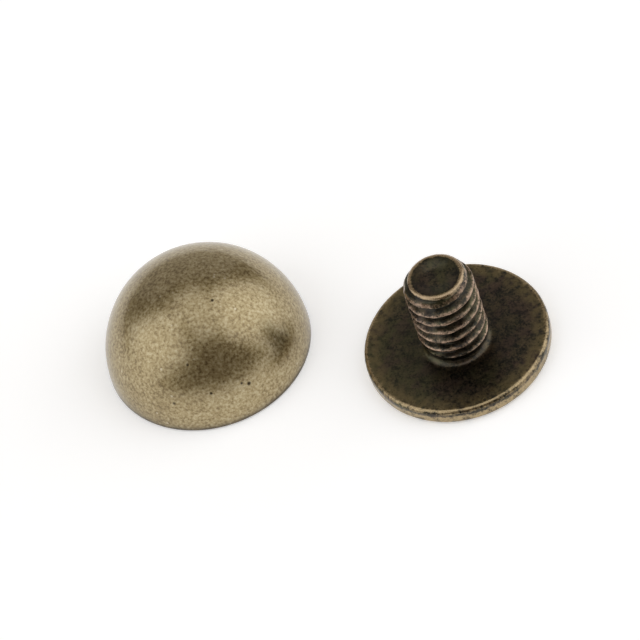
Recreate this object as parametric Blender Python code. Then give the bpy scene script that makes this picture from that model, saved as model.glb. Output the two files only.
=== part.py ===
"""Dome rivet: a cast dome cap with a tapped blind hole, and the flat-headed screw that closes it.

The two pieces stand apart on one surface, z = 0. The cap sits on its flat base at -X, and the
screw stands on its wide head at +X with its shank upright. The screw's thread and the cap's
thread are the same helix, so the cap moved straight onto the screw is in thread with it.
"""

import math

import bmesh
import bpy

MM = 0.001

# Cap
CAP_DIAMETER = 12.0 * MM
CAP_HEIGHT = 6.3 * MM
CAP_SKIRT_HEIGHT = 0.21 * MM
CAP_BASE_CHAMFER = 0.1 * MM
CAP_CROWN_WALL = 1.3 * MM
CAP_MOUTH_DIAMETER = 4.7 * MM
CAP_HOLE_END_SLOPE = math.radians(15.0)
CAP_UNTAPPED_LENGTH = 0.45 * MM

# Screw
HEAD_DIAMETER = 10.9 * MM
HEAD_THICKNESS = 1.05 * MM
HEAD_FACE_ROUND = 0.3 * MM
HEAD_SEAT_ROUND = 0.25 * MM
SHANK_LENGTH = 5.8 * MM
NECK_LENGTH = 0.75 * MM
NECK_FILLET = 0.35 * MM
TIP_DRAW_IN = 0.62 * MM
TIP_CONE_LENGTH = 0.75 * MM
TIP_EDGE_ROUND = 0.25 * MM
TIP_EDGE_SWEEP = math.radians(70.0)

# Cross recess in the head
RECESS_SPAN = 4.0 * MM
RECESS_DEPTH = 1.9 * MM
RECESS_WING_WIDTH = 0.95 * MM
RECESS_CORNER_RADIUS = 0.3 * MM
RECESS_END_TAPER = math.radians(26.5)
RECESS_SIDE_TAPER = math.radians(4.0)
RECESS_POINT_DEPTH = 0.25 * MM

# Thread shared by the shank and the cap
THREAD_DIAMETER = 4.15 * MM
THREAD_PITCH = 0.8 * MM
THREAD_CLEARANCE = 0.05 * MM
THREAD_FLANK_ANGLE = math.radians(30.0)
THREAD_CREST_SHARE = 0.125
THREAD_ROOT_SHARE = 0.25
THREAD_RUN_OUT_TURNS = 0.5

# Layout of the pair, and the thickness of the work that they clamp
RIM_GAP = 3.5 * MM
GRIP_THICKNESS = 2.5 * MM

# Facets
OUTLINE_SEGMENTS = 72
THREAD_SEGMENTS = 36
DOME_RINGS = 16
ROUND_STEPS = 4
MERGE_DISTANCE = 1e-7
CUTTER_OVERRUN = 0.4 * MM
SHARP_ANGLE = math.radians(30.0)

# Sizes that follow from the driving dimensions
PAIR_LENGTH = CAP_DIAMETER + RIM_GAP + HEAD_DIAMETER
CAP_CENTRE_X = (CAP_DIAMETER - PAIR_LENGTH) / 2
SCREW_CENTRE_X = (PAIR_LENGTH - HEAD_DIAMETER) / 2
SCREW_HEIGHT = HEAD_THICKNESS + SHANK_LENGTH
THREAD_RADIUS = THREAD_DIAMETER / 2
FLANK_WIDTH = THREAD_PITCH * (1 - THREAD_CREST_SHARE - THREAD_ROOT_SHARE) / 2
THREAD_DEPTH = FLANK_WIDTH / math.tan(THREAD_FLANK_ANGLE)
CORE_RADIUS = THREAD_RADIUS - THREAD_DEPTH
NECK_RADIUS = (THREAD_RADIUS + CORE_RADIUS) / 2
BORE_RADIUS = CORE_RADIUS + THREAD_CLEARANCE
HOLE_DEPTH = CAP_HEIGHT - CAP_CROWN_WALL
HOLE_SHOULDER = HOLE_DEPTH - BORE_RADIUS * math.tan(CAP_HOLE_END_SLOPE)
TAPPED_DEPTH = HOLE_SHOULDER - CAP_UNTAPPED_LENGTH
THREAD_START = HEAD_THICKNESS + NECK_LENGTH - THREAD_PITCH / 2


def clear_scene():
    """Remove every object that the scene starts with."""
    for old in list(bpy.data.objects):
        bpy.data.objects.remove(old, do_unlink=True)


def brass(name, colour, roughness, metallic):
    """Make a plain metal material."""
    material = bpy.data.materials.new(name)
    material.use_nodes = True
    shader = material.node_tree.nodes["Principled BSDF"]
    shader.inputs["Base Color"].default_value = (*colour, 1.0)
    shader.inputs["Roughness"].default_value = roughness
    shader.inputs["Metallic"].default_value = metallic
    material.diffuse_color = (*colour, 1.0)
    return material


def object_from(bm, name, centre_x=0.0, material=None):
    """Turn a bmesh into a smooth-shaded object with its axis at centre_x."""
    bmesh.ops.recalc_face_normals(bm, faces=bm.faces[:])
    mesh = bpy.data.meshes.new(name)
    bm.to_mesh(mesh)
    bm.free()
    mesh.shade_smooth()
    mesh.set_sharp_from_angle(angle=SHARP_ANGLE)
    made = bpy.data.objects.new(name, mesh)
    made.location.x = centre_x
    if material is not None:
        mesh.materials.append(material)
    bpy.context.scene.collection.objects.link(made)
    return made


def hide_as_cutter(made):
    """Keep a cutting or joining shape in the file as a wire guide."""
    made.hide_render = True
    made.display_type = "WIRE"
    return made


def add_boolean(target, tool, operation):
    """Join or cut the target with the tool and keep the step as a modifier."""
    step = target.modifiers.new(tool.name, "BOOLEAN")
    step.operation = operation
    step.object = tool
    step.solver = "EXACT"


def turned(profile, segments):
    """Spin a profile of (radius, height) points once round the Z axis."""
    bm = bmesh.new()
    points = [bm.verts.new((radius, 0.0, height)) for radius, height in profile]
    edges = [bm.edges.new(pair) for pair in zip(points, points[1:])]
    bmesh.ops.spin(
        bm,
        geom=points + edges,
        axis=(0.0, 0.0, 1.0),
        cent=(0.0, 0.0, 0.0),
        angle=math.tau,
        steps=segments,
        use_merge=True,
    )
    bmesh.ops.remove_doubles(bm, verts=bm.verts[:], dist=MERGE_DISTANCE)
    return bm


def arc(centre, radii, start, end, steps):
    """Points of an elliptical arc in the (radius, height) plane, both ends included."""
    angles = [start + (end - start) * step / steps for step in range(steps + 1)]
    return [
        (centre[0] + radii[0] * math.cos(angle), centre[1] + radii[1] * math.sin(angle))
        for angle in angles
    ]


def lofted(rings, closing_point=None):
    """Skin equal rings of points, capped at the first ring and at the last ring or a point."""
    bm = bmesh.new()
    loops = [[bm.verts.new(point) for point in ring] for ring in rings]
    count = len(loops[0])
    for lower, upper in zip(loops, loops[1:]):
        for here in range(count):
            after = (here + 1) % count
            bm.faces.new((lower[here], lower[after], upper[after], upper[here]))
    bm.faces.new(loops[0])
    if closing_point is None:
        bm.faces.new(loops[-1])
        return bm
    tip = bm.verts.new(closing_point)
    for here in range(count):
        bm.faces.new((loops[-1][here], loops[-1][(here + 1) % count], tip))
    return bm


def helical_sweep(section_at, first_height, turns):
    """Sweep a four-cornered section up a right-hand helix.

    section_at(turn) gives the section's (radius, height offset) corners at that turn.
    """
    rings = []
    for step in range(round(turns * THREAD_SEGMENTS) + 1):
        turn = step / THREAD_SEGMENTS
        angle = turn * math.tau
        height = first_height + turn * THREAD_PITCH
        rings.append(
            [
                (radius * math.cos(angle), radius * math.sin(angle), height + offset)
                for radius, offset in section_at(turn)
            ]
        )
    return lofted(rings)


def ridge_half_width(radius):
    """Half the width of the shank's thread ridge, measured along the axis at a radius."""
    crest = THREAD_PITCH * THREAD_CREST_SHARE / 2
    return crest + (THREAD_RADIUS - radius) * math.tan(THREAD_FLANK_ANGLE)


def shank_groove(turn):
    """Section of the groove between the shank's ridges, which rises out of the metal at the neck."""
    lift = THREAD_DEPTH * max(0.0, 1 - turn / THREAD_RUN_OUT_TURNS)
    outer = THREAD_RADIUS + THREAD_CLEARANCE
    root_half = THREAD_PITCH / 2 - ridge_half_width(CORE_RADIUS)
    outer_half = THREAD_PITCH / 2 - ridge_half_width(outer)
    return [
        (CORE_RADIUS + lift, -root_half),
        (CORE_RADIUS + lift, root_half),
        (outer + lift, outer_half),
        (outer + lift, -outer_half),
    ]


def cap_groove(turn, turns):
    """Section of the cap's groove: the shank's ridge and its clearance, fading at the inner end."""
    drop = THREAD_DEPTH * max(0.0, 1 - (turns - turn) / THREAD_RUN_OUT_TURNS)
    slack = THREAD_CLEARANCE / math.cos(THREAD_FLANK_ANGLE)
    inner = BORE_RADIUS - THREAD_CLEARANCE
    outer = THREAD_RADIUS + THREAD_CLEARANCE
    inner_half = ridge_half_width(inner) + slack
    outer_half = ridge_half_width(outer) + slack
    return [
        (inner - drop, -inner_half),
        (inner - drop, inner_half),
        (outer - drop, outer_half),
        (outer - drop, -outer_half),
    ]


def cap_blank():
    """Turn the dome: an ellipse on a short straight skirt, with a fine chamfer under the rim."""
    radius = CAP_DIAMETER / 2
    dome = arc(
        (0.0, CAP_SKIRT_HEIGHT),
        (radius, CAP_HEIGHT - CAP_SKIRT_HEIGHT),
        math.pi / 2,
        0.0,
        DOME_RINGS,
    )
    dome[0] = (0.0, CAP_HEIGHT)
    rim = [(radius, CAP_BASE_CHAMFER), (radius - CAP_BASE_CHAMFER, 0.0), (0.0, 0.0)]
    return turned(dome + rim, OUTLINE_SEGMENTS)


def cap_hole():
    """Turn the blind hole's cutter: countersunk mouth, straight bore and a shallow cone at the end."""
    mouth = CAP_MOUTH_DIAMETER / 2
    profile = [
        (0.0, HOLE_DEPTH),
        (BORE_RADIUS, HOLE_SHOULDER),
        (BORE_RADIUS, mouth - BORE_RADIUS),
        (mouth + CUTTER_OVERRUN, -CUTTER_OVERRUN),
        (0.0, -CUTTER_OVERRUN),
    ]
    return turned(profile, THREAD_SEGMENTS)


def cap_thread():
    """Sweep the cap's thread from below the mouth, in step with the shank's thread at the grip."""
    seat = HEAD_THICKNESS + GRIP_THICKNESS
    in_step = (THREAD_START + THREAD_PITCH / 2 - seat) % THREAD_PITCH
    first_height = in_step - 2 * THREAD_PITCH
    steps = math.floor((TAPPED_DEPTH - first_height) / THREAD_PITCH * THREAD_SEGMENTS)
    turns = steps / THREAD_SEGMENTS
    return helical_sweep(lambda turn: cap_groove(turn, turns), first_height, turns)


def make_cap(material):
    """Cast cap with its tapped blind hole."""
    cap = object_from(cap_blank(), "dome_cap", CAP_CENTRE_X, material)
    hole = object_from(cap_hole(), "cap_hole_cutter", CAP_CENTRE_X)
    thread = object_from(cap_thread(), "cap_thread_cutter", CAP_CENTRE_X)
    for cutter in (hole, thread):
        add_boolean(cap, hide_as_cutter(cutter), "DIFFERENCE")
    return cap


def screw_head():
    """Turn the flat head, with a softly rounded edge on its face and a finer one on its seat."""
    radius = HEAD_DIAMETER / 2
    seat_edge = arc(
        (radius - HEAD_SEAT_ROUND, HEAD_THICKNESS - HEAD_SEAT_ROUND),
        (HEAD_SEAT_ROUND, HEAD_SEAT_ROUND),
        math.pi / 2,
        0.0,
        ROUND_STEPS,
    )
    face_edge = arc(
        (radius - HEAD_FACE_ROUND, HEAD_FACE_ROUND),
        (HEAD_FACE_ROUND, HEAD_FACE_ROUND),
        0.0,
        -math.pi / 2,
        ROUND_STEPS,
    )
    profile = [(0.0, HEAD_THICKNESS)] + seat_edge + face_edge + [(0.0, 0.0)]
    return turned(profile, OUTLINE_SEGMENTS)


def screw_shank():
    """Turn the shank's blank: tapered tip, thread cylinder, neck and the fillet on the seat."""
    step_height = HEAD_THICKNESS + NECK_LENGTH
    tip_edge = arc(
        (THREAD_RADIUS - TIP_DRAW_IN, SCREW_HEIGHT - TIP_EDGE_ROUND),
        (TIP_EDGE_ROUND, TIP_EDGE_ROUND),
        math.pi / 2,
        math.pi / 2 - TIP_EDGE_SWEEP,
        ROUND_STEPS,
    )
    fillet = arc(
        (NECK_RADIUS + NECK_FILLET, HEAD_THICKNESS + NECK_FILLET),
        (NECK_FILLET, NECK_FILLET),
        math.pi,
        1.5 * math.pi,
        ROUND_STEPS,
    )
    profile = [(0.0, SCREW_HEIGHT)]
    profile += tip_edge
    profile += [
        (THREAD_RADIUS, SCREW_HEIGHT - TIP_CONE_LENGTH),
        (THREAD_RADIUS, step_height),
        (NECK_RADIUS, step_height - (THREAD_RADIUS - NECK_RADIUS)),
    ]
    profile += fillet
    profile += [(fillet[-1][0], HEAD_THICKNESS / 2), (0.0, HEAD_THICKNESS / 2)]
    return turned(profile, THREAD_SEGMENTS)


def screw_thread():
    """Sweep the shank's groove from the neck until it has left the tip."""
    turns = (SCREW_HEIGHT - THREAD_START) / THREAD_PITCH + 1
    return helical_sweep(shank_groove, THREAD_START, turns)


def cross_outline(span, width, corner, height):
    """Points of a cross with round inner corners, counterclockwise from above."""
    half_span = span / 2
    half_width = width / 2
    centre = half_width + corner
    quarter = [(half_span, -half_width), (half_span, half_width)]
    quarter += arc((centre, centre), (corner, corner), 1.5 * math.pi, math.pi, ROUND_STEPS)
    points = []
    for turn in range(4):
        cosine, sine = round(math.cos(turn * math.pi / 2)), round(math.sin(turn * math.pi / 2))
        points += [(x * cosine - y * sine, x * sine + y * cosine, height) for x, y in quarter]
    return points


def cross_recess():
    """Loft the cross recess's cutter: wings that draw in with depth and a shallow point."""

    def outline_at(depth):
        span = RECESS_SPAN - 2 * depth * math.tan(RECESS_END_TAPER)
        width = RECESS_WING_WIDTH - 2 * depth * math.tan(RECESS_SIDE_TAPER)
        return cross_outline(span, width, RECESS_CORNER_RADIUS, depth)

    wall_depth = RECESS_DEPTH - RECESS_POINT_DEPTH
    rings = [outline_at(-CUTTER_OVERRUN), outline_at(wall_depth)]
    return lofted(rings, (0.0, 0.0, RECESS_DEPTH))


def make_screw(material):
    """Screw with its head down: head and shank in one, the cut thread and the cross recess."""
    screw = object_from(screw_head(), "screw", SCREW_CENTRE_X, material)
    shank = object_from(screw_shank(), "screw_shank_blank", SCREW_CENTRE_X)
    thread = object_from(screw_thread(), "screw_thread_cutter", SCREW_CENTRE_X)
    recess = object_from(cross_recess(), "cross_recess_cutter", SCREW_CENTRE_X)
    add_boolean(screw, hide_as_cutter(shank), "UNION")
    for cutter in (thread, recess):
        add_boolean(screw, hide_as_cutter(cutter), "DIFFERENCE")
    return screw


def main():
    """Build the pair."""
    clear_scene()
    satin_brass = brass("satin_antique_brass", (0.35, 0.275, 0.145), 0.42, 1.0)
    dark_brass = brass("dark_antique_brass", (0.105, 0.08, 0.045), 0.48, 1.0)
    make_cap(satin_brass)
    make_screw(dark_brass)


main()
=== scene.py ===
"""Dome rivet in antique brass: a satin cap and the dark screw that closes it, on a pale table.

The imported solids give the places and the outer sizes. Two finely worked turned surfaces stand for
them, with the blasted skin of the cap, the rolled thread of the screw and the wear on its edges.
Lengths are in metres, written as millimetres times MM.
"""

import logging
import math
from abc import ABC, abstractmethod
from dataclasses import dataclass, field
from enum import Enum
from typing import Any, ClassVar, Mapping, Optional, Sequence, Union

import bpy
import numpy as np
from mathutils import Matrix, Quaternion, Vector


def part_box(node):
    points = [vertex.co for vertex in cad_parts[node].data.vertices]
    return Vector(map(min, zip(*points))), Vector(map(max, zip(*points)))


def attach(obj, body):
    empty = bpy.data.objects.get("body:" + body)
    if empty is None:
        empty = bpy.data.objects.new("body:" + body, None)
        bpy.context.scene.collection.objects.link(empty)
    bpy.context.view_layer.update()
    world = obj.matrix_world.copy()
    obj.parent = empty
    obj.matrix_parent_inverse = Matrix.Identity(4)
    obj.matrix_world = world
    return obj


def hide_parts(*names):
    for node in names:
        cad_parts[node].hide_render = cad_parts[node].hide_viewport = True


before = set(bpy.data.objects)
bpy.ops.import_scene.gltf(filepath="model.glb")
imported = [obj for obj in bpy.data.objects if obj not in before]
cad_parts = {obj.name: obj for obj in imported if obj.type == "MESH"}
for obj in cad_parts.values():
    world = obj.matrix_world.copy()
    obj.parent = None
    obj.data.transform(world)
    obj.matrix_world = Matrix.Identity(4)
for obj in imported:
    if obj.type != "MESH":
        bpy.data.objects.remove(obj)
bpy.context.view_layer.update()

MM = 0.001
BODY = "root"
NOISE_MEAN = 0.5
SMALLEST_AREA = 1e-20
SMALLEST_ANGLE = 1e-9
log = logging.getLogger("dome_rivet")

Colour = tuple[float, float, float]
Value = Union[float, Colour, "Socket"]


class Slot(Enum):
    """Material slots that the record gives the pieces."""

    SATIN_BRASS = "satin_brass"
    DARK_BRASS = "dark_brass"


class Mark(Enum):
    """Point attributes that carry the state of the surface and where light or shade is painted, each from 0
    to 1.
    """

    WEAR = "wear"
    # Dirt, and painted shade along contact edges, round the shank's foot, in thread roots and as a dark
    # reflected band on the head's side.
    GRIME = "grime_and_shade"
    BLUSH = "blush"
    # Gilded brass on the head's face, and a painted sheen near the rim of the screw's seat.
    GILT = "gilt_and_sheen"


class Zone(Enum):
    """Zones of the turned outlines, each with its name and its number of points."""

    CROWN = ("crown", 1)
    DOME = ("dome", 132)
    SKIRT = ("skirt", 4)
    RIM = ("rim", 3)
    BASE = ("base", 26)
    MOUTH = ("mouth", 10)
    BORE = ("bore", 88)
    HOLE_END = ("hole_end", 8)

    TIP_MIDDLE = ("tip_middle", 1)
    TIP = ("tip", 18)
    TIP_EDGE = ("tip_edge", 10)
    TIP_CONE = ("tip_cone", 22)
    SHANK = ("shank", 150)
    SHOULDER = ("shoulder", 7)
    NECK = ("neck", 5)
    FILLET = ("fillet", 10)
    SEAT = ("seat", 44)
    SEAT_EDGE = ("seat_edge", 9)
    SIDE = ("side", 9)
    FACE_EDGE = ("face_edge", 10)
    FACE = ("face", 34)
    RECESS_WALL = ("recess_wall", 12)
    RECESS_END = ("recess_end", 8)

    @property
    def count(self) -> int:
        """Number of points along the zone."""
        return self.value[1]


# Shader building


class Socket:
    """An output of a shader node, with arithmetic that adds Math nodes."""

    def __init__(self, paint: "Paint", output: bpy.types.NodeSocket) -> None:
        """Wrap an output.

        Args:
            paint: The node tree that the output belongs to.
            output: The output itself.
        """
        self.paint = paint
        self.output = output

    def maths(self, operation: str, first: Value, second: Value) -> "Socket":
        """Add a Math node.

        Args:
            operation: Blender's name of the operation.
            first: First value or link.
            second: Second value or link.

        Returns:
            The node's output.
        """
        return self.paint.node("ShaderNodeMath", {"operation": operation}, {0: first, 1: second})

    def __add__(self, other: Value) -> "Socket":
        """Sum."""
        return self.maths("ADD", self, other)

    def __radd__(self, other: Value) -> "Socket":
        """Sum with the socket on the right."""
        return self.maths("ADD", other, self)

    def __sub__(self, other: Value) -> "Socket":
        """Difference."""
        return self.maths("SUBTRACT", self, other)

    def __rsub__(self, other: Value) -> "Socket":
        """Difference with the socket on the right."""
        return self.maths("SUBTRACT", other, self)

    def __mul__(self, other: Value) -> "Socket":
        """Product."""
        return self.maths("MULTIPLY", self, other)

    def __rmul__(self, other: Value) -> "Socket":
        """Product with the socket on the right."""
        return self.maths("MULTIPLY", other, self)

    def __gt__(self, other: Value) -> "Socket":
        """1 where the socket is greater, else 0."""
        return self.maths("GREATER_THAN", self, other)

    def smooth_step(self, low: float, high: float) -> "Socket":
        """Rise smoothly from 0 at low to 1 at high."""
        settings = {"interpolation_type": "SMOOTHSTEP"}
        return self.paint.node("ShaderNodeMapRange", settings, {0: self, 1: low, 2: high})

    def clipped(self) -> "Socket":
        """Limit to the range from 0 to 1."""
        return self.paint.node("ShaderNodeClamp", {}, {0: self})


@dataclass(frozen=True)
class Noise:
    """Cloudy noise: the size of its lumps in metres, its layers of detail and how rough they are."""

    size: float
    detail: float = 2.0
    roughness: float = 0.5


@dataclass(frozen=True)
class Spots:
    """Round spots: the cells' spacing in metres, a spot's radius and how many cells hold one.

    The radius is a share of the spacing, and the last value is the share of the cells.
    """

    spacing: float
    radius: float
    share: float


@dataclass(frozen=True)
class Stain:
    """A colour that comes in where a pattern rises from low to high, and hides at most its cover."""

    colour: Colour
    low: float
    high: float
    cover: float


class Paint:
    """A node-based material in the making."""

    def __init__(self, name: str) -> None:
        """Start an empty material.

        Args:
            name: The material's name.
        """
        self.material = bpy.data.materials.new(name)
        self.material.use_nodes = True
        self.tree = self.material.node_tree
        self.tree.nodes.clear()

    def node(
        self,
        kind: str,
        settings: Optional[Mapping[str, Any]] = None,
        inputs: Optional[Mapping[Union[int, str], Value]] = None,
        output: Union[int, str, None] = 0,
    ) -> Optional[Socket]:
        """Add a node of any type.

        Args:
            kind: Blender's type name of the node.
            settings: Attributes set before anything else; "stops" lists a ramp's colour stops.
            inputs: Value or link of each named or numbered input.
            output: Name or number of the output to hand back, or None.

        Returns:
            The chosen output, or None.
        """
        made = self.tree.nodes.new(kind)
        for name, setting in (settings or {}).items():
            if name == "stops":
                self._set_stops(made.color_ramp.elements, setting)
            else:
                setattr(made, name, setting)
        for key, value in (inputs or {}).items():
            if isinstance(value, Socket):
                self.tree.links.new(value.output, made.inputs[key])
            elif isinstance(value, tuple) and made.inputs[key].type == "RGBA":
                made.inputs[key].default_value = (*value, 1.0)
            else:
                made.inputs[key].default_value = value
        return None if output is None else Socket(self, made.outputs[output])

    @staticmethod
    def _set_stops(elements: Any, stops: Sequence[tuple[float, Colour]]) -> None:
        """Give a colour ramp its stops.

        Args:
            elements: The ramp's own stops.
            stops: The (place, colour) pair of each stop.
        """
        while len(elements) < len(stops):
            elements.new(1.0)
        for element, (place, colour) in zip(elements, stops):
            element.position = place
            element.color = (*colour, 1.0)

    def place(self) -> Socket:
        """The point's own place on the piece, in metres."""
        return self.node("ShaderNodeTexCoord", output="Object")

    def mark(self, mark: Mark) -> Socket:
        """A point attribute as a number."""
        return self.node("ShaderNodeAttribute", {"attribute_name": mark.value}, output="Fac")

    def noise(self, noise: Noise) -> Socket:
        """Cloudy noise around the mean of NOISE_MEAN."""
        inputs = {"Scale": 1 / noise.size, "Detail": noise.detail, "Roughness": noise.roughness}
        return self.node("ShaderNodeTexNoise", {}, {"Vector": self.place(), **inputs})

    def spots(self, spots: Spots) -> Socket:
        """Scatter round spots over the surface.

        Args:
            spots: Their spacing, radius and number.

        Returns:
            1 inside a spot, falling softly to 0 at its edge.
        """
        inputs = {"Vector": self.place(), "Scale": 1 / spots.spacing}
        near = self.node("ShaderNodeTexVoronoi", {}, inputs, "Distance")
        lot = self.node("ShaderNodeTexVoronoi", {}, inputs, "Color")
        drawn = self.node("ShaderNodeSeparateColor", {}, {0: lot}) > (1 - spots.share)
        return (1 - near.smooth_step(spots.radius / 2, spots.radius)) * drawn

    def blend(self, share: Value, first: Value, second: Value) -> Socket:
        """Mix two colours, first at share 0 and second at share 1."""
        return self.node("ShaderNodeMix", {"data_type": "RGBA"}, {0: share, 6: first, 7: second}, 2)

    def stained(self, skin: Value, pattern: Socket, stain: Stain) -> Socket:
        """Lay a stain over a colour where the pattern is high."""
        return self.blend(pattern.smooth_step(stain.low, stain.high) * stain.cover, skin, stain.colour)

    def relief(self, height: Socket, depth: float, strength: float) -> Socket:
        """Surface normal of a height pattern that is 0 to 1, over a depth in metres."""
        inputs = {"Height": height, "Distance": depth, "Strength": strength}
        return self.node("ShaderNodeBump", {}, inputs)

    def metal(self, inputs: Mapping[str, Value]) -> None:
        """Finish the material with a metal surface, from the values and links of its sockets."""
        self.surface(self.node("ShaderNodeBsdfPrincipled", {}, {"Metallic": 1.0, **inputs}))

    def surface(self, shader: Socket) -> None:
        """Link a shader to the material's surface."""
        self.node("ShaderNodeOutputMaterial", {}, {"Surface": shader}, None)


# Finishes


class Finish(ABC):
    """What a surface is finished in."""

    @abstractmethod
    def material(self) -> bpy.types.Material:
        """Build the node-based material."""


@dataclass(frozen=True)
class SatinBrass(Finish):
    """Lacquered antique brass over a blasted casting: fine light grain, soft clouds, dark pits and painted
    highlight specks.
    """

    tones: tuple[tuple[float, Colour], ...] = (
        (0.0, (0.195, 0.138, 0.058)),
        (0.28, (0.318, 0.24, 0.11)),
        (0.62, (0.41, 0.325, 0.168)),
        (1.0, (0.53, 0.448, 0.275)),
    )
    darkest: float = 0.33
    lightest: float = 0.7
    grain: Noise = Noise(0.17 * MM, 2.0, 0.6)
    grain_share: float = 0.7
    mottle: Noise = Noise(0.6 * MM)
    mottle_share: float = 0.14
    clouds: Noise = Noise(3.2 * MM)
    cloud_share: float = 0.16
    # Tarnish and painted contact shade along the dome's base; the same dark also lies in the hole.
    tarnish_and_shade: Colour = (0.075, 0.055, 0.028)
    least_tarnish_and_shade: float = 0.45
    mottled_tarnish_and_shade: float = 0.9
    rubbed: Colour = (0.52, 0.40, 0.20)
    rubbing: float = 1.5
    # Painted highlights: small light specks that stand for the glitter of the blasted skin.
    painted_glint: Colour = (0.74, 0.66, 0.48)
    painted_glints: Spots = Spots(0.7 * MM, 0.14, 0.4)
    painted_glint_cover: float = 0.5
    pit: Colour = (0.035, 0.024, 0.012)
    small_pits: Spots = Spots(1.3 * MM, 0.1, 0.4)
    large_pits: Spots = Spots(2.6 * MM, 0.07, 0.5)
    pit_cover: float = 0.9
    pit_depth: float = 0.8
    pit_roughness: float = 0.3
    roughness: float = 0.35
    grain_roughness: float = 0.25
    edge: Colour = (0.6, 0.555, 0.46)
    lacquer_lost_in_pits: float = 0.85
    lacquer_roughness: float = 0.22
    relief_depth: float = 0.02 * MM
    relief_strength: float = 0.5
    grain_height: float = 0.8

    def material(self) -> bpy.types.Material:
        """Build the material.

        The tone is a weighted sum of grain, mottle and clouds, which picks a colour from the tones.
        Tarnish and painted shade, rubbed metal, painted highlight specks and pits lie over it in that order.

        Returns:
            The node-based material.
        """
        paint = Paint(Slot.SATIN_BRASS.value)
        grain, mottle = paint.noise(self.grain), paint.noise(self.mottle)
        clouds = paint.noise(self.clouds)
        pits = (paint.spots(self.small_pits) + paint.spots(self.large_pits)).clipped()
        tone = grain * self.grain_share + mottle * self.mottle_share + clouds * self.cloud_share
        tone = tone.smooth_step(self.darkest, self.lightest)
        skin = paint.node("ShaderNodeValToRGB", {"stops": self.tones}, {0: tone})
        # Tarnish and painted shade, where the point attribute asks for it.
        grime_and_shade = paint.mark(Mark.GRIME) * (self.least_tarnish_and_shade + mottle * self.mottled_tarnish_and_shade)
        skin = paint.blend(grime_and_shade.clipped(), skin, self.tarnish_and_shade)
        worn = paint.mark(Mark.WEAR) * mottle * self.rubbing
        skin = paint.blend(worn.clipped(), skin, self.rubbed)
        # Painted highlight specks.
        skin = paint.blend(paint.spots(self.painted_glints) * self.painted_glint_cover, skin, self.painted_glint)
        skin = paint.blend(pits * self.pit_cover, skin, self.pit)
        height = grain * self.grain_height + mottle * (1 - self.grain_height) - pits * self.pit_depth
        rough = self.roughness + (grain - NOISE_MEAN) * self.grain_roughness + pits * self.pit_roughness
        paint.metal(
            {
                "Base Color": skin,
                "Roughness": rough.clipped(),
                "Specular Tint": self.edge,
                "Coat Weight": 1 - pits * self.lacquer_lost_in_pits,
                "Coat Roughness": self.lacquer_roughness,
                "Normal": paint.relief(height, self.relief_depth, self.relief_strength),
            }
        )
        return paint.material


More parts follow.
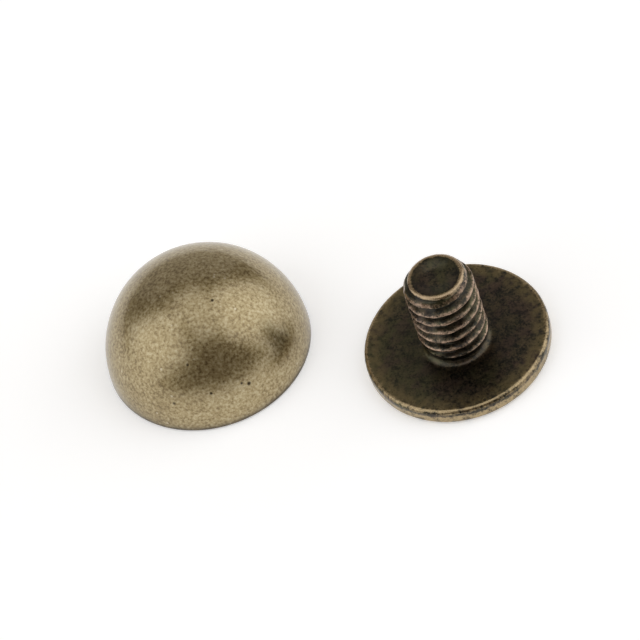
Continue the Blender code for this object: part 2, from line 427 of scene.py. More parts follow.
@dataclass(frozen=True)
class DarkBrass(Finish):
    """Blackened brass: mottled dark patina that is worn through to bright metal on the edges."""

    patina: Colour = (0.038, 0.037, 0.028)
    brown: Stain = Stain((0.15, 0.113, 0.064), 0.38, 0.64, 1.0)
    olive: Stain = Stain((0.112, 0.107, 0.048), 0.44, 0.62, 0.7)
    plum: Stain = Stain((0.108, 0.065, 0.058), 0.48, 0.64, 0.5)
    # Gilded brass, which also paints a sheen near the rim of the seat.
    gilt_and_sheen: Colour = (0.2, 0.156, 0.074)
    thin_gilt_and_sheen: float = 0.3
    full_gilt_and_sheen: float = 0.6
    gilding_and_sheen: float = 1.3
    # Colour of soot, and of painted shade in the thread's roots, round the shank's foot and along the head's
    # side.
    soot_and_shade: Colour = (0.012, 0.012, 0.010)
    sootiest: float = 0.36
    cleanest: float = 0.54
    soot_mottle: float = 0.65
    soot_cover: float = 0.58
    soot_lost_on_gilt_and_sheen: float = 0.75
    # Share of the dark that dirt and painted shade lay.
    grime_and_shade_cover: float = 0.94
    bare: Colour = (0.415, 0.315, 0.175)
    pink: Colour = (0.44, 0.30, 0.225)
    wearing: float = 1.5
    mottled_wear: float = 1.4
    least_wear: float = 0.4
    full_wear: float = 1.05
    grain: Noise = Noise(0.12 * MM, 3.0, 0.6)
    mottle: Noise = Noise(0.5 * MM, 4.0, 0.6)
    clouds: Noise = Noise(2.2 * MM, 3.0, 0.55)
    stains: Noise = Noise(1.32 * MM, 4.0, 0.6)
    specks: Spots = Spots(0.6 * MM, 0.2, 0.35)
    speck_cover: float = 0.6
    speck_depth: float = 0.4
    roughness: float = 0.34
    grain_roughness: float = 0.4
    polish: float = 0.06
    wax: float = 0.3
    wax_roughness: float = 0.25
    relief_depth: float = 0.014 * MM
    relief_strength: float = 0.55
    grain_height: float = 0.45

    def material(self) -> bpy.types.Material:
        """Build the material.

        Brown, olive and plum stains lie on the patina, then gilded metal with a painted sheen, sooty dirt,
        dirt with painted shade, and bare metal. Soot gathers where mottle and grain are low, and keeps off
        the gilded and sheened places. The wear that a point has is roughened by mottle and grain before it
        lays the metal bare, pink where the point is blushed.

        Returns:
            The node-based material.
        """
        paint = Paint(Slot.DARK_BRASS.value)
        grain, mottle = paint.noise(self.grain), paint.noise(self.mottle)
        specks = paint.spots(self.specks)
        gilt_and_sheen = paint.mark(Mark.GILT)
        skin = paint.stained(self.patina, (mottle + grain) * 0.5, self.brown)
        skin = paint.stained(skin, paint.noise(self.clouds), self.olive)
        skin = paint.stained(skin, paint.noise(self.stains), self.plum)
        # Gilded places, and the painted sheen near the seat's rim.
        gilding_and_sheen = gilt_and_sheen * mottle.smooth_step(self.thin_gilt_and_sheen, self.full_gilt_and_sheen) * self.gilding_and_sheen
        skin = paint.blend(gilding_and_sheen.clipped(), skin, self.gilt_and_sheen)
        clean = mottle * self.soot_mottle + grain * (1 - self.soot_mottle)
        sooty = 1 - clean.smooth_step(self.sootiest, self.cleanest)
        cover = (self.soot_cover - gilt_and_sheen * self.soot_lost_on_gilt_and_sheen).clipped()
        skin = paint.blend(sooty * cover, skin, self.soot_and_shade)
        # Dirt and painted shade from the point attribute.
        skin = paint.blend(paint.mark(Mark.GRIME).clipped() * self.grime_and_shade_cover, skin, self.soot_and_shade)
        worn = paint.mark(Mark.WEAR) * self.wearing + (mottle - NOISE_MEAN) * self.mottled_wear
        worn = (worn + grain - NOISE_MEAN).smooth_step(self.least_wear, self.full_wear)
        metal = paint.blend(paint.mark(Mark.BLUSH), self.bare, self.pink)
        skin = paint.blend(worn, skin, metal)
        skin = paint.blend(specks * self.speck_cover, skin, self.soot_and_shade)
        height = grain * self.grain_height + mottle * (1 - self.grain_height) - specks * self.speck_depth
        rough = self.roughness + (grain - NOISE_MEAN) * self.grain_roughness - worn * self.polish
        paint.metal(
            {
                "Base Color": skin,
                "Roughness": rough.clipped(),
                "Coat Weight": self.wax,
                "Coat Roughness": self.wax_roughness,
                "Normal": paint.relief(height, self.relief_depth, self.relief_strength),
            }
        )
        return paint.material


@dataclass(frozen=True)
class PaleTable(Finish):
    """Matt white table top, overexposed to white where nothing shades it."""

    colour: Colour = (0.92, 0.92, 0.92)
    glow_colour: Colour = (1.0, 1.0, 1.0)
    glow: float = 0.35

    def material(self) -> bpy.types.Material:
        """Build the material.

        Returns:
            A matt white that seen rays, mirrored rays and passed rays find a little brighter.
        """
        paint = Paint("pale_table")
        matt = paint.node("ShaderNodeBsdfDiffuse", {}, {"Color": self.colour})
        seen = paint.node("ShaderNodeLightPath", output="Is Camera Ray")
        mirrored = paint.node("ShaderNodeLightPath", output="Is Glossy Ray")
        passed = paint.node("ShaderNodeLightPath", output="Is Transmission Ray")
        strength = (seen + mirrored + passed).clipped() * self.glow
        glow = paint.node("ShaderNodeEmission", {}, {"Color": self.glow_colour, "Strength": strength})
        paint.surface(paint.node("ShaderNodeAddShader", {}, {0: matt, 1: glow}))
        return paint.material


# Turned surfaces


def line(start: Sequence[float], end: Sequence[float], count: int) -> np.ndarray:
    """Points of a straight stretch: the start plus a share k / count of the way, for k from 1.

    Args:
        start: (radius, height) before the first point, which isn't repeated.
        end: (radius, height) of the last point.
        count: Number of points.

    Returns:
        An array of count (radius, height) rows.
    """
    share = np.arange(1, count + 1)[:, None] / count
    first, last = np.asarray(start), np.asarray(end)
    return first + (last - first) * share


def arc(centre: Sequence[float], radii: Sequence[float], start: float, end: float, count: int) -> np.ndarray:
    """Points of an elliptical arc: the centre plus each radius times the cosine or sine of the angle.

    Args:
        centre: (radius, height) of the ellipse's centre.
        radii: Half widths of the ellipse along the radius and the height.
        start: Angle before the first point, in radians.
        end: Angle of the last point.
        count: Number of points.

    Returns:
        An array of count (radius, height) rows.
    """
    angle = start + (end - start) * np.arange(1, count + 1) / count
    return np.stack([centre[0] + radii[0] * np.cos(angle), centre[1] + radii[1] * np.sin(angle)], axis=1)


@dataclass
class Outline:
    """A turned outline from its top pole to its other pole, in named zones."""

    parts: list[np.ndarray] = field(default_factory=list)
    zones: dict[Zone, slice] = field(default_factory=dict)

    def add(self, zone: Zone, points: np.ndarray) -> None:
        """Append a zone.

        Args:
            zone: Its name.
            points: Its (radius, height) points, or its one point.
        """
        start = sum(len(part) for part in self.parts)
        self.parts.append(np.atleast_2d(points))
        self.zones[zone] = slice(start, start + len(self.parts[-1]))

    def run(self, zone: Zone, end: Sequence[float]) -> None:
        """Go straight on to a (radius, height) point."""
        self.add(zone, line(self.parts[-1][-1], end, zone.count))

    def bend(self, zone: Zone, centre: Sequence[float], radius: float, *angles: float) -> None:
        """Go on along a circular arc, from its start angle to its end angle."""
        self.add(zone, arc(centre, (radius, radius), *angles, zone.count))

    def points(self) -> np.ndarray:
        """All (radius, height) points as one array."""
        return np.concatenate(self.parts)

    def span(self, first: Zone, last: Zone) -> slice:
        """Rows from the start of one zone to the end of another."""
        return slice(self.zones[first].start, self.zones[last].stop)

    def across(self, zone: Zone) -> np.ndarray:
        """Share of the way through a zone, from 0 at its first point to 1, as a column."""
        return np.linspace(0, 1, zone.count)[:, None]

    def onward(self, zone: Zone) -> np.ndarray:
        """Share of the way through a zone from the point before it, up to 1, as a column."""
        return np.linspace(0, 1, zone.count + 1)[1:, None]


@dataclass(frozen=True)
class Relief:
    """A random but repeatable height field in space, as a sum of plane waves."""

    wavelength: float
    depth: float
    seed: int
    waves: int = 28
    stray: float = 0.25
    limit: float = 2.0

    def at(self, points: np.ndarray) -> np.ndarray:
        """Height at each point.

        Each wave is the sine of the point's distance along a random direction, times 2 pi over a
        wavelength that strays by up to a share of the named one, plus a random phase. The waves are
        added, scaled to unit spread, limited, and scaled so that the limit is the depth.

        Args:
            points: Places in metres, with the three coordinates on the last axis.

        Returns:
            Heights from minus depth to plus depth.
        """
        draw = np.random.default_rng(self.seed)
        ways = draw.normal(size=(self.waves, 3))
        ways /= np.linalg.norm(ways, axis=1, keepdims=True)
        lengths = self.wavelength * draw.uniform(1 - self.stray, 1 + self.stray, self.waves)
        phases = draw.uniform(0, math.tau, self.waves)
        angle = points @ (ways * (math.tau / lengths)[:, None]).T + phases
        height = np.sin(angle).sum(axis=-1) * math.sqrt(2 / self.waves)
        return np.clip(height, -self.limit, self.limit) * self.depth / self.limit


def soft_least(first: np.ndarray, second: np.ndarray, rounding: float) -> np.ndarray:
    """The lesser of two lengths with a rounded corner where they cross.

    Half of their sum less the root of their squared difference plus the squared rounding.

    Args:
        first: First lengths.
        second: Second lengths.
        rounding: Twice the length that the corner is cut back by.

    Returns:
        The softened lesser lengths.
    """
    return (first + second - np.sqrt((first - second) ** 2 + rounding**2)) / 2


def soft_share(value: np.ndarray) -> np.ndarray:
    """Limit to 0 to 1 with smooth ends: three times the square less twice the cube."""
    held = np.clip(value, 0, 1)
    return held * held * (3 - 2 * held)


@dataclass(frozen=True)
class Course:
    """Course of a mark through a zone, by the share of the way made.

    It is a level, plus a near rise times a power of the share left, plus a far rise times a power of
    the share made, plus a soft step from one share to another.
    """

    level: float = 0.0
    near: float = 0.0
    near_power: float = 1.0
    far: float = 0.0
    far_power: float = 1.0
    step: float = 0.0
    step_from: float = 0.0
    step_to: float = 1.0

    def at(self, share: np.ndarray) -> np.ndarray:
        """The mark along the way.

        Args:
            share: Shares of the way made, from 0 to 1.

        Returns:
            The mark at each share.
        """
        rises = self.near * (1 - share) ** self.near_power + self.far * share**self.far_power
        stepped = soft_share((share - self.step_from) / (self.step_to - self.step_from))
        return self.level + rises + self.step * stepped


@dataclass(frozen=True)
class Thread:
    """Right-hand thread that the shank and the cap's hole share."""

    radius: float = 2.075 * MM
    pitch: float = 0.8 * MM
    depth: float = 0.433 * MM
    crest_share: float = 0.125
    root_share: float = 0.25
    flank_easing: float = 0.05
    clearance: float = 0.05 * MM
    run_out_turns: float = 0.5

    def turns_up(self, height: np.ndarray, angle: np.ndarray, start: float) -> np.ndarray:
        """Height above the helix in pitches: height over pitch, less the share of a turn made."""
        return (height - start) / self.pitch - angle / math.tau

    def groove(self, turns: np.ndarray) -> np.ndarray:
        """Depth of the shank's groove.

        The distance from the nearest groove's middle, in pitches, falls from the edge of the crest
        to the edge of the root in a straight flank whose two ends are eased.

        Args:
            turns: Heights above the helix in pitches.

        Returns:
            The depth from 0 on a crest to 1 on a root.
        """
        away = np.abs(turns - np.round(turns))
        crest_edge = 0.5 - self.crest_share / 2
        root_edge = self.root_share / 2
        flank = (crest_edge - away) / (crest_edge - root_edge)
        return soft_share(flank * (1 - 2 * self.flank_easing) + self.flank_easing)

    def run_out(self, turns: np.ndarray, angle: np.ndarray) -> np.ndarray:
        """Share of full depth, which grows from 0 over the first part of a turn of the helix."""
        made = np.round(turns) + angle / math.tau
        return np.clip(made / self.run_out_turns, 0, 1)


def spun(radius: np.ndarray, height: np.ndarray, angle: np.ndarray, centre: Vector) -> np.ndarray:
    """Places of a turned surface: the axis plus the radius times the cosine and sine of the angle.

    Args:
        radius: Radii with one row for each outline point and one column for each angle.
        height: Heights in the same layout.
        angle: The columns' angles.
        centre: A point on the axis, whose x and y are used.

    Returns:
        An array of rows, columns and three coordinates.
    """
    x = centre.x + radius * np.cos(angle)
    y = centre.y + radius * np.sin(angle)
    return np.stack([x, y, np.broadcast_to(height, x.shape)], axis=-1)


def roughened(points: np.ndarray, skins: Sequence[tuple[Relief, np.ndarray]]) -> np.ndarray:
    """Sink a surface by random reliefs, so that its highest places keep their size.

    A point's unit normal is the step to the next row crossed with the step to the next column. The
    point goes along it by the sum of the reliefs' heights less their depths, each times the share
    that its row takes.

    Args:
        points: Rows, columns and three coordinates.
        skins: Each relief with the shares of it that the rows take, as a column.

    Returns:
        The moved places.
    """
    down = np.gradient(points, axis=0)
    around = np.roll(points, -1, axis=1) - np.roll(points, 1, axis=1)
    normal = np.cross(down, around)
    length = np.linalg.norm(normal, axis=-1, keepdims=True)
    moved = sum((relief.at(points) - relief.depth) * share for relief, share in skins)
    return points + normal / np.maximum(length, SMALLEST_AREA) * moved[..., None]


def closed_mesh(name: str, points: np.ndarray, marks: Mapping[Mark, np.ndarray]) -> bpy.types.Object:
    """Make one closed smooth mesh from a grid that runs round its columns and shuts at two poles.

    Args:
        name: The object's name.
        points: Rows, columns and coordinates; the first and the last row are one point each.
        marks: Value of each attribute at each row and column.

    Returns:
        The object, at the origin, with its place in its mesh.
    """
    rows, columns = points.shape[:2]
    rings = points[1:-1].reshape(-1, 3)
    vertices = np.concatenate([points[0, :1], rings, points[-1, :1]])
    index = 1 + np.arange((rows - 2) * columns).reshape(rows - 2, columns)
    beside = np.roll(index, -1, axis=1)
    quads = np.stack([index[:-1], index[1:], beside[1:], beside[:-1]], axis=-1).reshape(-1, 4)
    first = np.stack([np.zeros_like(index[0]), index[0], beside[0]], axis=-1)
    last = np.stack([index[-1], np.full_like(index[0], len(vertices) - 1), beside[-1]], axis=-1)
    fans = np.concatenate([first, last])
    corners = np.concatenate([quads.ravel(), fans.ravel()])
    quad_starts = np.arange(len(quads)) * 4
    fan_starts = quads.size + np.arange(len(fans)) * 3
    starts = np.concatenate([quad_starts, fan_starts])
    mesh = bpy.data.meshes.new(name)
    mesh.vertices.add(len(vertices))
    mesh.vertices.foreach_set("co", vertices.ravel())
    mesh.loops.add(len(corners))
    mesh.loops.foreach_set("vertex_index", corners.astype(np.int32))
    mesh.polygons.add(len(starts))
    mesh.polygons.foreach_set("loop_start", starts.astype(np.int32))
    mesh.update(calc_edges=True)
    mesh.validate()
    mesh.shade_smooth()
    for mark, values in marks.items():
        flat = np.concatenate([values[0, :1], values[1:-1].ravel(), values[-1, :1]])
        layer = mesh.attributes.new(mark.value, "FLOAT", "POINT")
        layer.data.foreach_set("value", np.clip(flat, 0, 1).astype(np.float32))
    made = bpy.data.objects.new(name, mesh)
    bpy.context.scene.collection.objects.link(made)
    return made


# Sub-assemblies


@dataclass
class TurnedPiece(ABC):
    """A piece turned about an upright axis, which stands for one node of the frame."""

    node: ClassVar[str]
    name: ClassVar[str]
    slot: ClassVar[Slot]
    columns: ClassVar[int]
    state: ClassVar[Mapping[tuple[Zone, Mark], Course]]

    finish: Finish
    thread: Thread

    @abstractmethod
    def outline(self, radius: float, top: float) -> Outline:
        """Draw the outline for a radius and a greatest height."""

    @abstractmethod
    def formed(self, shape: Outline, angle: np.ndarray) -> tuple[np.ndarray, np.ndarray]:
        """Radii, and depth of the thread from 0 to 1, with a row for each outline point."""

    @abstractmethod
    def skins(self, shape: Outline) -> list[tuple[Relief, np.ndarray]]:
        """Reliefs of the skin, each with the shares of it that the rows take."""

    def marks(self, shape: Outline, groove: np.ndarray) -> dict[Mark, np.ndarray]:
        """Set the surface's marks by the courses of its state, and to 0 elsewhere.

        Args:
            shape: The piece's outline.
            groove: Depth of the thread from 0 to 1.

        Returns:
            The attributes, with a row for each outline point.
        """
        used = {mark for zone, mark in self.state}
        marks = {mark: np.zeros_like(groove) for mark in Mark if mark in used}
        for (zone, mark), course in self.state.items():
            marks[mark][shape.zones[zone]] = course.at(shape.across(zone))
        return marks

    def build(self) -> bpy.types.Object:
        """Work out the surface, roughen it, dress it and let it stand for its node.

        The axis is the middle of the node's box, the radius is half the box's length along X, and
        the outline's greatest height is the box's top.

        Returns:
            The finished piece.
        """
        low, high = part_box(self.node)
        shape = self.outline((high.x - low.x) / 2, high.z)
        angle = np.arange(self.columns) * math.tau / self.columns
        radii, groove = self.formed(shape, angle)
        points = spun(radii, shape.points()[:, 1:], angle, (low + high) / 2)
        points = roughened(points, self.skins(shape))
        piece = closed_mesh(self.name, points, self.marks(shape, groove))
        piece.data.materials.append(self.finish.material())
        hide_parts(self.node)
        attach(piece, BODY)
        return piece


@dataclass
class DomeCap(TurnedPiece):
    """Cast cap: a near-hemispherical dome on a short skirt, with a tapped blind hole in its base."""

    node = "dome_cap"
    name = "satin_dome"
    slot = Slot.SATIN_BRASS
    columns = 256
    state = {
        # Painted contact shade, partly tarnish: the dome's lowest band, the skirt and the rim are darkened.
        (Zone.DOME, Mark.GRIME): Course(far=1.0, far_power=60.0),
        (Zone.SKIRT, Mark.GRIME): Course(1.0),
        (Zone.RIM, Mark.GRIME): Course(1.0),
        # The underside and the tapped hole are darker.
        (Zone.BASE, Mark.GRIME): Course(0.7),
        (Zone.BASE, Mark.WEAR): Course(0.4),
        (Zone.MOUTH, Mark.GRIME): Course(0.95),
        (Zone.BORE, Mark.GRIME): Course(0.95),
        (Zone.HOLE_END, Mark.GRIME): Course(0.95),
    }

    skirt_height: float = 0.21 * MM
    base_chamfer: float = 0.1 * MM
    mouth_radius: float = 2.35 * MM
    crown_wall: float = 1.3 * MM
    hole_end_slope: float = math.radians(15.0)
    untapped_length: float = 0.45 * MM
    thread_start: float = -0.35 * MM
    fade_out_turns: float = 0.5
    casting_wave: Relief = Relief(3.4 * MM, 0.007 * MM, seed=3)
    blasted_skin: Relief = Relief(0.5 * MM, 0.0028 * MM, seed=5)
    skin_fade: float = 1 / 30

    def outline(self, radius: float, top: float) -> Outline:
        """Draw the cap from its crown, down the dome, across the base and up to the hole's end.

        Args:
            radius: The dome's radius.
            top: The crown's height.

        Returns:
            The outline.
        """
        bore = self.thread.radius - self.thread.depth + self.thread.clearance
        hole_end = top - self.crown_wall
        shoulder = hole_end - bore * math.tan(self.hole_end_slope)
        dome_radii = (radius, top - self.skirt_height)
        shape = Outline()
        shape.add(Zone.CROWN, np.array([0.0, top]))
        shape.add(Zone.DOME, arc((0.0, self.skirt_height), dome_radii, math.pi / 2, 0.0, Zone.DOME.count))
        shape.run(Zone.SKIRT, (radius, self.base_chamfer))
        shape.run(Zone.RIM, (radius - self.base_chamfer, 0.0))
        shape.run(Zone.BASE, (self.mouth_radius, 0.0))
        shape.run(Zone.MOUTH, (bore, self.mouth_radius - bore))
        shape.run(Zone.BORE, (bore, shoulder))
        shape.run(Zone.HOLE_END, (0.0, hole_end))
        return shape

    def formed(self, shape: Outline, angle: np.ndarray) -> tuple[np.ndarray, np.ndarray]:
        """Radii with the thread cut into the hole, and the thread's depth.

        The depth's share is 1 less the groove of the shank's thread, half a pitch on, and it fades
        out with height before the untapped end. The thread's radius is the bore plus its depth times
        that share. Where the mouth is wider, the mouth stays.

        Args:
            shape: The cap's outline.
            angle: The columns' angles.

        Returns:
            Radii, and the depth from 0 to 1, with a row for each outline point.
        """
        points = shape.points()
        radius = np.repeat(points[:, :1], len(angle), axis=1)
        groove = np.zeros_like(radius)
        tapped = shape.span(Zone.MOUTH, Zone.BORE)
        height = points[tapped, 1:]
        turns = self.thread.turns_up(height, angle, self.thread_start)
        fade = (height[-1] - self.untapped_length - height) / (self.thread.pitch * self.fade_out_turns)
        groove[tapped] = (1 - self.thread.groove(turns + 0.5)) * np.clip(fade, 0, 1)
        bore = points[shape.zones[Zone.BORE], 0].min()
        radius[tapped] = np.maximum(radius[tapped], bore + self.thread.depth * groove[tapped])
        return radius, groove

    def skins(self, shape: Outline) -> list[tuple[Relief, np.ndarray]]:
        """The dome's cast wave and blasted skin, which fade out just above the skirt.

        Args:
            shape: The cap's outline.

        Returns:
            Each relief with the shares of it that the rows take.
        """
        share = np.zeros((len(shape.points()), 1))
        share[shape.zones[Zone.DOME]] = soft_share((1 - shape.across(Zone.DOME)) / self.skin_fade)
        return [(self.casting_wave, share), (self.blasted_skin, share)]


@dataclass
class Recess:
    """Cross recess: four wings with square ends, whose inner corners are round."""

    span: float = 4.0 * MM
    width: float = 0.95 * MM
    corner: float = 0.3 * MM
    depth: float = 1.9 * MM
    point_depth: float = 0.25 * MM
    end_taper: float = math.radians(26.5)
    side_taper: float = math.radians(4.0)

    def edge(self, angle: np.ndarray, depth: Union[float, np.ndarray]) -> np.ndarray:
        """Distance from the axis to the cross's wall, at each angle and depth.

        The angle is folded into an eighth of a turn. There the wall is the wing's end up to its
        corner, then the wing's side, and near the diagonal the nearer crossing with the round corner.

        Args:
            angle: Angles from the first wing's axis.
            depth: Depth below the head's face, or a column of depths.

        Returns:
            The distance at each angle, with a row for each depth.
        """
        half_span = self.span / 2 - depth * math.tan(self.end_taper)
        half_width = self.width / 2 - depth * math.tan(self.side_taper)
        quarter = np.mod(angle, math.pi / 2)
        folded = np.minimum(quarter, math.pi / 2 - quarter)
        cosine, sine = np.cos(folded), np.maximum(np.sin(folded), SMALLEST_ANGLE)
        end_or_side = np.minimum(half_span / cosine, half_width / sine)
        reach = half_width + self.corner
        along = reach * (cosine + sine)
        under = along**2 - 2 * reach**2 + self.corner**2
        round_corner = along - np.sqrt(np.maximum(under, 0))
        return np.where(half_width / np.tan(folded + SMALLEST_ANGLE) < reach, round_corner, end_or_side)


@dataclass
class HeadedScrew(TurnedPiece):
    """Screw that stands on its wide flat head: dished tip, rolled thread, neck, head and recess."""

    node = "screw"
    name = "antiqued_screw"
    slot = Slot.DARK_BRASS
    columns = 252
    state = {
        (Zone.TIP, Mark.WEAR): Course(far=0.6, far_power=14.0),
        (Zone.TIP, Mark.GRIME): Course(0.26, far=0.4, far_power=2.0),
        (Zone.TIP_EDGE, Mark.WEAR): Course(0.8, far=-0.5, far_power=2.0),
        (Zone.TIP_EDGE, Mark.BLUSH): Course(0.3),
        # The neck and the fillet are darker.
        (Zone.NECK, Mark.GRIME): Course(0.6),
        (Zone.FILLET, Mark.GRIME): Course(0.4),
        (Zone.SEAT, Mark.WEAR): Course(0.05, far=0.3, far_power=14.0),
        # Painted shade round the foot of the shank: the seat darkens towards the neck.
        (Zone.SEAT, Mark.GRIME): Course(near=0.56, near_power=0.8),
        # Painted sheen: the outer part of the seat turns lighter towards its rim.
        (Zone.SEAT, Mark.GILT): Course(step=0.65, step_from=0.66, step_to=0.88),
        # Edge wear that is partly a painted highlight: a light line along the seat's edge.
        (Zone.SEAT_EDGE, Mark.WEAR): Course(0.68, far=-0.4),
        # Painted dark reflection: a dark band where the seat's edge turns down into the side.
        (Zone.SEAT_EDGE, Mark.GRIME): Course(far=0.3),
        (Zone.SIDE, Mark.WEAR): Course(0.28, step=0.32, step_to=0.4),
        # Painted dark reflection band at the top of the side.
        (Zone.SIDE, Mark.GRIME): Course(0.3, step=-0.3, step_to=0.4),
        (Zone.FACE_EDGE, Mark.WEAR): Course(0.56),
        (Zone.FACE, Mark.WEAR): Course(0.1, near=0.3, near_power=20.0, far=0.45, far_power=20.0),
        (Zone.FACE, Mark.GILT): Course(0.6),
        (Zone.RECESS_WALL, Mark.WEAR): Course(near=0.55, near_power=8.0),
        # Darker deeper in the recess.
        (Zone.RECESS_WALL, Mark.GRIME): Course(0.3, far=0.5),
        (Zone.RECESS_END, Mark.GRIME): Course(0.8),
    }

    recess: Recess
    head_thickness: float = 1.05 * MM
    face_round: float = 0.3 * MM
    seat_round: float = 0.25 * MM
    neck_length: float = 0.75 * MM
    neck_fillet: float = 0.35 * MM
    tip_draw_in: float = 0.62 * MM
    tip_round: float = 0.25 * MM
    tip_sweep: float = math.radians(70.0)
    tip_cone: float = 0.75 * MM
    tip_dish: float = 0.10 * MM
    dish_floor: float = 0.35
    dish_slope: float = 0.6
    corner_rounding: float = 0.06 * MM
    lead_in_rows: int = 2
    crest_wear: float = 0.6
    crest_power: float = 1.7
    # Darkening of the thread's roots: dirt and painted shade.
    root_grime_and_shade: float = 0.95
    root_power: float = 1.5
    shank_blush: float = 0.85
    cone_wear: Course = Course(0.75, far=0.2)
    stamped_wave: Relief = Relief(2.6 * MM, 0.008 * MM, seed=11)
    plated_skin: Relief = Relief(0.4 * MM, 0.0035 * MM, seed=17)
    rolling_marks: Relief = Relief(0.9 * MM, 0.022 * MM, seed=23)

    def outline(self, radius: float, top: float) -> Outline:
        """Draw the screw from its tip, down the shank, over the head's rim and to the recess.

        The tip's dish is level up to a share of its radius, then rises softly to the tip's edge.

        Args:
            radius: The head's radius.
            top: The tip's height.

        Returns:
            The outline, in which the face and the recess are still round.
        """
        thread, seat = self.thread, self.head_thickness
        neck_radius = thread.radius - thread.depth / 2
        tip_radius = thread.radius - self.tip_draw_in
        neck_top = seat + self.neck_length
        tip_end = math.pi / 2 - self.tip_sweep
        seat_radius, face_radius = radius - self.seat_round, radius - self.face_round
        fillet_centre = (neck_radius + self.neck_fillet, seat + self.neck_fillet)
        dish = line((0.0, 0.0), (tip_radius, 0.0), Zone.TIP.count)
        inside = dish[:, 0] / tip_radius
        dish[:, 1] = top - self.tip_dish * (1 - soft_share((inside - self.dish_floor) / self.dish_slope))
        shape = Outline()
        shape.add(Zone.TIP_MIDDLE, np.array([0.0, top - self.tip_dish]))
        shape.add(Zone.TIP, dish)
        shape.bend(Zone.TIP_EDGE, (tip_radius, top - self.tip_round), self.tip_round, math.pi / 2, tip_end)
        shape.run(Zone.TIP_CONE, (thread.radius, top - self.tip_cone))
        shape.run(Zone.SHANK, (thread.radius, neck_top))
        shape.run(Zone.SHOULDER, (neck_radius, neck_top - thread.radius + neck_radius))
        shape.run(Zone.NECK, (neck_radius, seat + self.neck_fillet))
        shape.bend(Zone.FILLET, fillet_centre, self.neck_fillet, math.pi, 1.5 * math.pi)
        shape.run(Zone.SEAT, (seat_radius, seat))
        shape.bend(Zone.SEAT_EDGE, (seat_radius, seat - self.seat_round), self.seat_round, math.pi / 2, 0.0)
        shape.run(Zone.SIDE, (radius, self.face_round))
        shape.bend(Zone.FACE_EDGE, (face_radius, self.face_round), self.face_round, 0.0, -math.pi / 2)
        shape.run(Zone.FACE, (0.0, 0.0))
        shape.run(Zone.RECESS_WALL, (0.0, self.recess.depth - self.recess.point_depth))
        shape.run(Zone.RECESS_END, (0.0, self.recess.depth))
        return shape

    def formed(self, shape: Outline, angle: np.ndarray) -> tuple[np.ndarray, np.ndarray]:
        """Radii with the rolled thread and the cross recess, and the thread's depth.

        The thread's radius is its greatest less its depth times the groove's share, from just inside
        the tip's edge to the neck, above which it runs out. The surface there is the softened lesser
        of the turned blank and the thread, plus half the rounding, and never more than the thread.
        So where the blank is thinner, it stands up to half the rounding outside the blank. The face
        runs in from its edge to the cross's wall, the wall draws in with depth, and the end runs in
        to the axis.

        Args:
            shape: The screw's outline.
            angle: The columns' angles.

        Returns:
            Radii, and the groove's depth from 0 to 1, with a row for each outline point.
        """
        points = shape.points()
        radius = np.repeat(points[:, :1], len(angle), axis=1)
        groove = np.zeros_like(radius)
        rows = slice(shape.zones[Zone.TIP_EDGE].stop - self.lead_in_rows, shape.zones[Zone.NECK].stop)
        start = self.head_thickness + self.neck_length - self.thread.pitch / 2
        turns = self.thread.turns_up(points[rows, 1:], angle, start)
        groove[rows] = self.thread.groove(turns) * self.thread.run_out(turns, angle)
        rolled = self.thread.radius - self.thread.depth * groove[rows]
        softened = soft_least(radius[rows], rolled, self.corner_rounding) + self.corner_rounding / 2
        radius[rows] = np.minimum(softened, rolled)
        rim = points[shape.zones[Zone.FACE_EDGE], 0][-1]
        mouth = self.recess.edge(angle, 0.0)
        floor = self.recess.edge(angle, self.recess.depth - self.recess.point_depth)
        wall = shape.zones[Zone.RECESS_WALL]
        radius[shape.zones[Zone.FACE]] = rim + (mouth - rim) * shape.onward(Zone.FACE)
        radius[wall] = self.recess.edge(angle, points[wall, 1:])
        radius[shape.zones[Zone.RECESS_END]] = floor * (1 - shape.onward(Zone.RECESS_END))
        return radius, groove

    def skins(self, shape: Outline) -> list[tuple[Relief, np.ndarray]]:
        """The stamped wave and plated skin of all but the face and the recess, and the rolling marks.

        Args:
            shape: The screw's outline.

        Returns:
            Each relief with the shares of it that the rows take.
        """
        skinned = np.ones((len(shape.points()), 1))
        skinned[shape.zones[Zone.TIP_MIDDLE]] = 0
        skinned[shape.span(Zone.FACE, Zone.RECESS_END)] = 0
        rolled = np.zeros_like(skinned)
        rolled[shape.span(Zone.TIP_CONE, Zone.SHOULDER)] = 1
        return [(self.stamped_wave, skinned), (self.plated_skin, skinned), (self.rolling_marks, rolled)]

    def marks(self, shape: Outline, groove: np.ndarray) -> dict[Mark, np.ndarray]:
        """Where the patina is worn through, and where dirt, painted shade and painted sheen lie.

        On the shank the crests are worn, by a power of the share that isn't groove, and the roots are
        darkened with dirt and painted shade, by a power of the groove. The other zones follow their courses.

        Args:
            shape: The screw's outline.
            groove: Depth of the thread's groove from 0 to 1.

        Returns:
            The attributes, with a row for each outline point.
        """
        marks = super().marks(shape, groove)
        shank = shape.span(Zone.TIP_CONE, Zone.SHOULDER)
        grooved = shape.span(Zone.TIP_EDGE, Zone.SHOULDER)
        marks[Mark.WEAR][shank] = self.crest_wear * (1 - groove[shank]) ** self.crest_power
        marks[Mark.WEAR][shape.zones[Zone.TIP_CONE]] *= self.cone_wear.at(shape.across(Zone.TIP_CONE))
        # Painted shade, partly dirt: the roots darken with the groove's depth.
        marks[Mark.GRIME][grooved] = self.root_grime_and_shade * groove[grooved] ** self.root_power
        marks[Mark.BLUSH][shank] = self.shank_blush
        return marks


# Studio


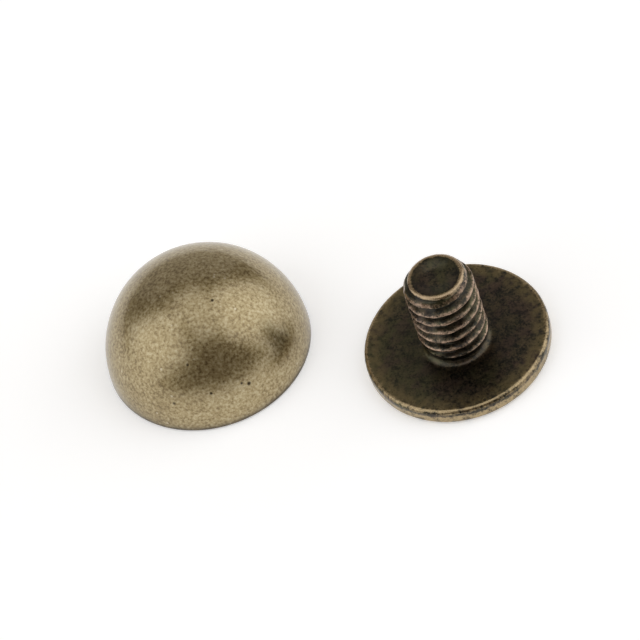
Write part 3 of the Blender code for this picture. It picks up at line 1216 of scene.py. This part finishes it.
def towards(azimuth: float, elevation: float) -> Vector:
    """Direction from the pair out to a bearing: 0 degrees is -Y, and 90 degrees is +X.

    Its level part has the length of the elevation's cosine, and its height is the elevation's sine.

    Args:
        azimuth: Bearing in degrees.
        elevation: Height above the table in degrees.

    Returns:
        A unit vector.
    """
    turn, rise = math.radians(azimuth), math.radians(elevation)
    level = math.cos(rise)
    return Vector((math.sin(turn) * level, -math.cos(turn) * level, math.sin(rise)))


def aim(thing: bpy.types.Object, way: Vector, roll: float) -> None:
    """Turn a camera or a light to look back along a direction.

    Args:
        thing: The camera or light.
        way: Direction from the pair out to it.
        roll: Turn about its line of sight in degrees.
    """
    thing.rotation_mode = "QUATERNION"
    rolled = Quaternion((0.0, 0.0, 1.0), math.radians(roll))
    thing.rotation_quaternion = (-way).to_track_quat("-Z", "Y") @ rolled


@dataclass(frozen=True)
class SoftBox:
    """Large soft light that faces the table's middle."""

    name: str
    azimuth: float
    elevation: float
    roll: float
    width: float
    height: float
    radiance: float
    tint: Colour = (0.94, 0.965, 1.0)
    distance: float = 0.5

    def hang(self, turn: float) -> None:
        """Hang the light.

        Its power is its radiance times its area times pi, so that it looks as bright in the metal
        whatever its size.

        Args:
            turn: Angle that the whole studio is turned by, in degrees.
        """
        lamp = bpy.data.lights.new(self.name, "AREA")
        lamp.shape = "RECTANGLE"
        lamp.size = self.width
        lamp.size_y = self.height
        lamp.energy = self.radiance * self.width * self.height * math.pi
        lamp.color = self.tint
        light = bpy.data.objects.new(self.name, lamp)
        way = towards(self.azimuth + turn, self.elevation)
        light.location = way * self.distance
        aim(light, way, self.roll)
        light.visible_camera = False
        bpy.context.scene.collection.objects.link(light)


@dataclass(frozen=True)
class Studio:
    """Pale table among four soft boxes, with the camera at the photograph's angle.

    The boxes' azimuths are from the camera's. Each box gives azimuth, elevation and roll in degrees,
    then width and height in metres, and its radiance.
    """

    azimuth: float = 24.9
    elevation: float = 50.1
    roll: float = -19.6
    distance: float = 0.775
    pixels_per_metre: float = 17.4 / MM
    frame_width: float = 640.0
    sensor: float = 36.0
    aim_height: float = 2.7 * MM
    world_colour: Colour = (0.148, 0.122, 0.09)
    table: Finish = PaleTable()
    table_size: float = 6.0
    table_drop: float = 0.005 * MM
    boxes: tuple[SoftBox, ...] = (
        SoftBox("left_soft_box", -84.0, 33.0, -25.0, 0.56, 0.68, 1.12),
        SoftBox("right_soft_box", 84.5, 33.5, 17.0, 0.64, 0.70, 1.22),
        SoftBox("top_soft_box", 0.0, 89.0, 16.0, 0.32, 0.57, 0.88),
        SoftBox("back_soft_box", 180.0, 26.0, 0.0, 0.70, 0.40, 0.3),
    )

    def set_table(self) -> None:
        """Lay the pale table top."""
        half = self.table_size / 2
        level = -self.table_drop
        corners = [(-half, -half, level), (half, -half, level), (half, half, level), (-half, half, level)]
        mesh = bpy.data.meshes.new("table_top")
        mesh.from_pydata(corners, [], [(0, 1, 2, 3)])
        mesh.materials.append(self.table.material())
        table = bpy.data.objects.new("table_top", mesh)
        bpy.context.scene.collection.objects.link(table)

    def set_world(self) -> None:
        """Fill the room with an even warm grey."""
        world = bpy.data.worlds.new("room")
        world.use_nodes = True
        background = world.node_tree.nodes["Background"]
        background.inputs["Color"].default_value = (*self.world_colour, 1.0)
        bpy.context.scene.world = world

    def set_camera(self) -> None:
        """Place the camera and aim it at the pair, rolled as the photograph is."""
        lens = bpy.data.cameras.new("camera")
        lens.sensor_width = self.sensor
        lens.lens = self.pixels_per_metre * self.distance / self.frame_width * self.sensor
        camera = bpy.data.objects.new("camera", lens)
        back = towards(self.azimuth, self.elevation)
        camera.location = Vector((0.0, 0.0, self.aim_height)) + back * self.distance
        aim(camera, back, self.roll)
        bpy.context.scene.collection.objects.link(camera)
        bpy.context.scene.camera = camera

    def build(self) -> None:
        """Set up table, room, lights and camera."""
        self.set_table()
        self.set_world()
        for box in self.boxes:
            box.hang(self.azimuth)
        self.set_camera()
        bpy.context.scene.view_settings.view_transform = "Standard"


def main() -> None:
    """Build the cap, the screw and the studio, and report each."""
    logging.basicConfig(level=logging.INFO, format="%(name)s: %(message)s")
    thread = Thread()
    for maker in (DomeCap(SatinBrass(), thread), HeadedScrew(DarkBrass(), thread, Recess())):
        piece = maker.build()
        log.info("%s: %d faces, stands for %s", piece.name, len(piece.data.polygons), maker.node)
    studio = Studio()
    studio.build()
    log.info("studio: %d soft boxes", len(studio.boxes))


if __name__ == "__main__":
    main()
